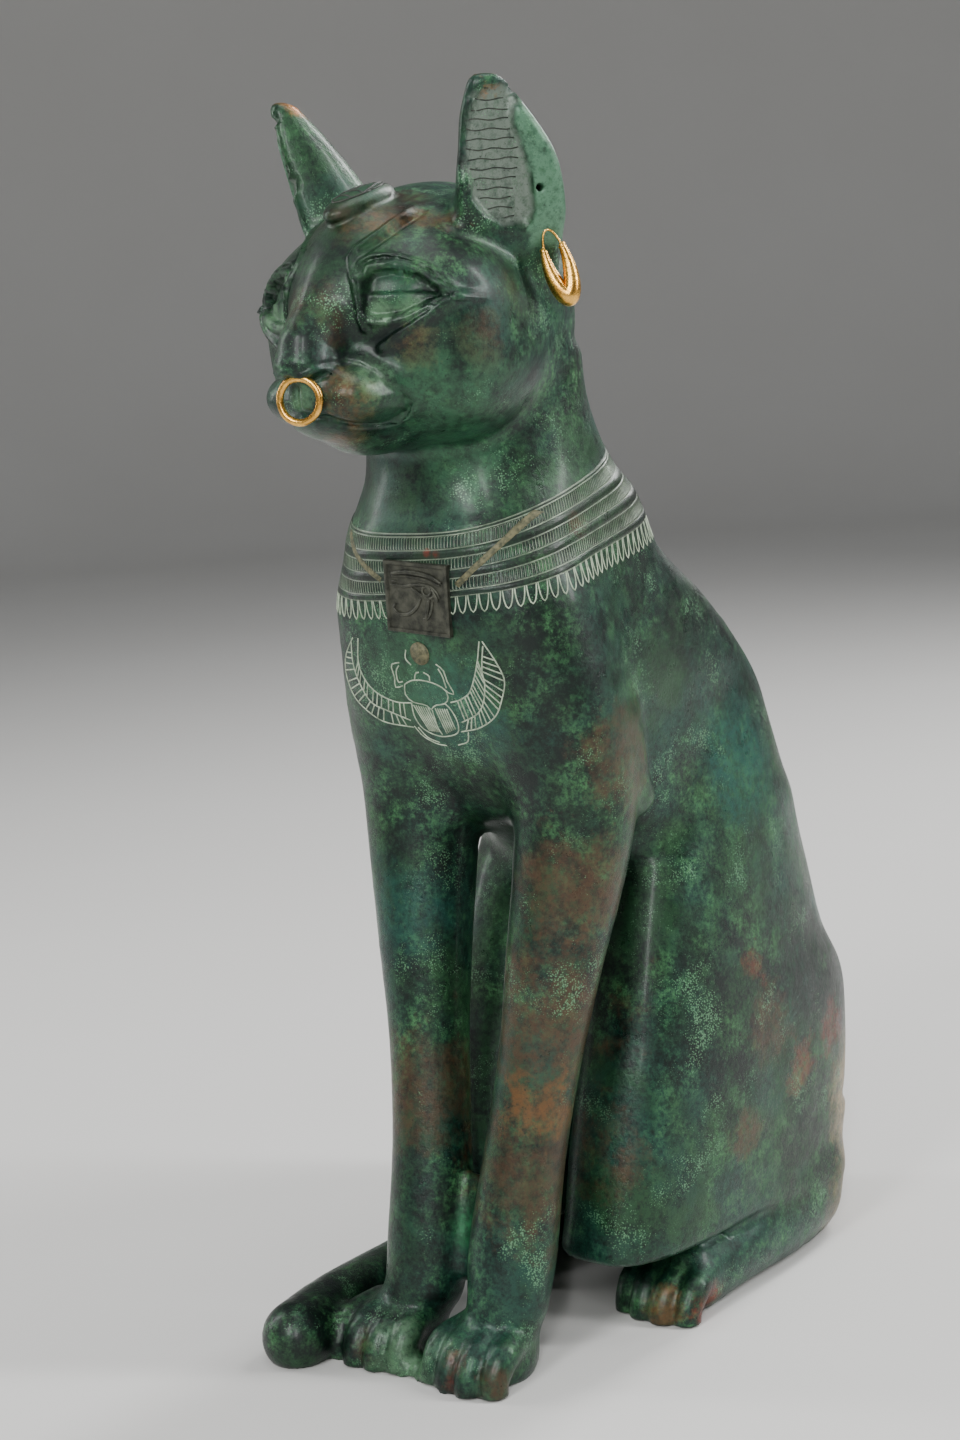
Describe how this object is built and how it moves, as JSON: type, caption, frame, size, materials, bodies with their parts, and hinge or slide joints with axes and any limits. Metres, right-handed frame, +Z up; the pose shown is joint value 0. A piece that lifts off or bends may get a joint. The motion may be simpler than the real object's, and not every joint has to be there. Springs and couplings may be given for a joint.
{
  "type": "seated cat statue",
  "caption": "Seated bronze cat with gold ear rings and nose ring, engraved collar and inlaid silver eye pendant; stands by its own weight.",
  "frame": {"origin": "on the ground under the middle of the seat, on the cat's middle plane", "axes": "+Z up, the cat looks along -Y, its left side is +X"},
  "size_m": [0.1293, 0.2513, 0.4186],
  "materials": {
    "patinated_bronze": "dark green patina, worn glossy",
    "gold": "polished gold",
    "dark_silver": "tarnished, rough",
    "pale_inlay": "dull tan"
  },
  "bodies": {
    "root": {"cat_figure": "patinated_bronze", "nose_ring": "gold", "left_earring": "gold", "right_earring": "gold", "wedjat_plaque": "dark_silver", "left_pendant_cord": "pale_inlay", "right_pendant_cord": "pale_inlay", "scarab_sun_disc": "pale_inlay"}
  },
  "joints": []
}
